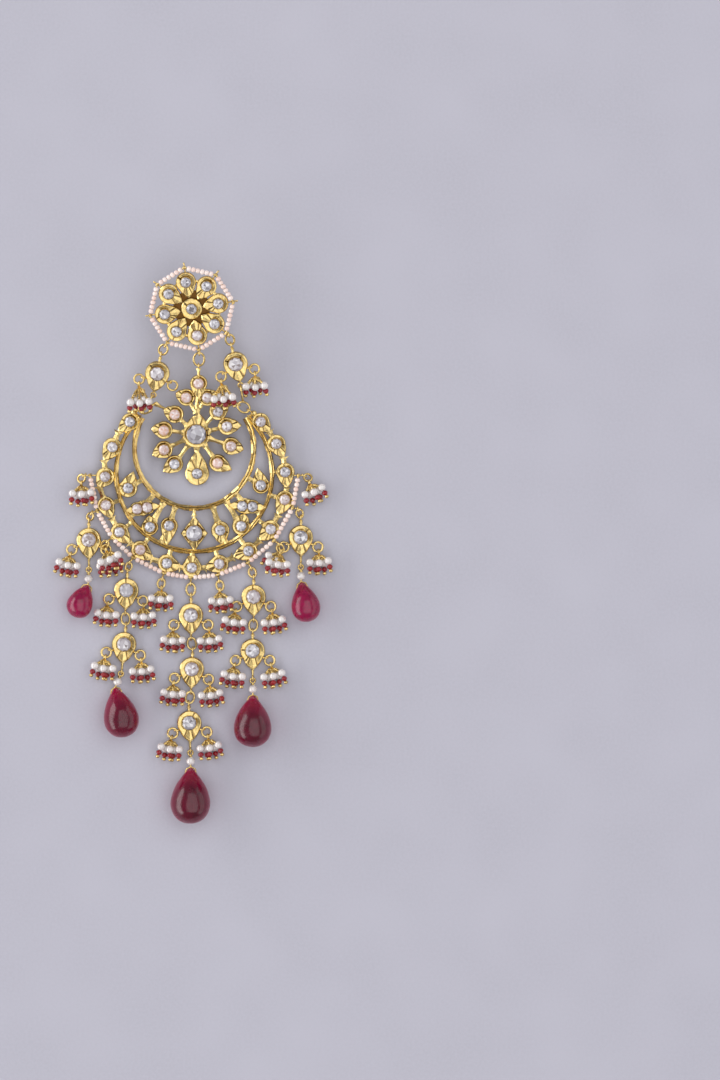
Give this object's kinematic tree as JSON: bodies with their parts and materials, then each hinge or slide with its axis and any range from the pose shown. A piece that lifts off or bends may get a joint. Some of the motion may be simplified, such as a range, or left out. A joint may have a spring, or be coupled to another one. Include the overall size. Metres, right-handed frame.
{
  "type": "chandbali earring",
  "caption": "Chandbali earring: round flower stud on an ear post, pierced rosette in a leaf-set crescent, strands of stone-set leaf links with bead tassels and pear drops",
  "frame": {"origin": "middle of the box that holds the lying earring, at the level of the surface it lies on", "axes": "+Y runs from the lowest drop to the stud, along the length; +X runs to the right of the wearer's view of its face; +Z points away from the surface"},
  "size_m": [0.0699, 0.1392, 0.0129],
  "materials": {
    "gold": "bright polished yellow gold, hand cut facets",
    "clear_stone": "pale cut stones with a faint lilac cast, closed backs",
    "pearl": "white pearls with a soft pink lustre, dark red and gold beads",
    "red_drop": "smooth polished deep red"
  },
  "bodies": {
    "root": {"stud_flower": "gold", "stud_centre_stone": "clear_stone", "stud_petal_stones": "clear_stone", "stud_pearl_string": "pearl", "ear_post": "gold", "upper_rings": "gold", "horn_rings": "gold", "upper_link_left": "gold", "upper_link_right": "gold", "upper_stone_left": "clear_stone", "upper_stone_right": "clear_stone", "upper_tassels": "pearl", "rosette_frame": "gold", "rosette_centre_stone": "clear_stone", "rosette_petal_stones": "clear_stone", "crescent_frame": "gold", "crescent_outer_stones": "clear_stone", "crescent_inner_stones": "clear_stone", "crescent_centre_stone": "clear_stone", "crescent_pearl_string": "pearl", "edge_rings": "gold", "edge_tassels": "pearl", "strand_rings": "gold", "strand_tassel_rings": "gold", "strand_1_link": "gold", "strand_2_link_a": "gold", "strand_2_link_b": "gold", "strand_3_link_a": "gold", "strand_3_link_b": "gold", "strand_3_link_c": "gold", "strand_4_link_a": "gold", "strand_4_link_b": "gold", "strand_5_link": "gold", "strand_1_stones": "clear_stone", "strand_2_stones": "clear_stone", "strand_3_stones": "clear_stone", "strand_4_stones": "clear_stone", "strand_5_stones": "clear_stone", "strand_1_tassels": "pearl", "strand_2_tassels": "pearl", "strand_3_tassels": "pearl", "strand_4_tassels": "pearl", "strand_5_tassels": "pearl", "ruby_drop_1": "red_drop", "ruby_drop_2": "red_drop", "ruby_drop_3": "red_drop", "ruby_drop_4": "red_drop", "ruby_drop_5": "red_drop", "drop_pearls": "pearl", "drop_wires": "gold"}
  },
  "joints": []
}
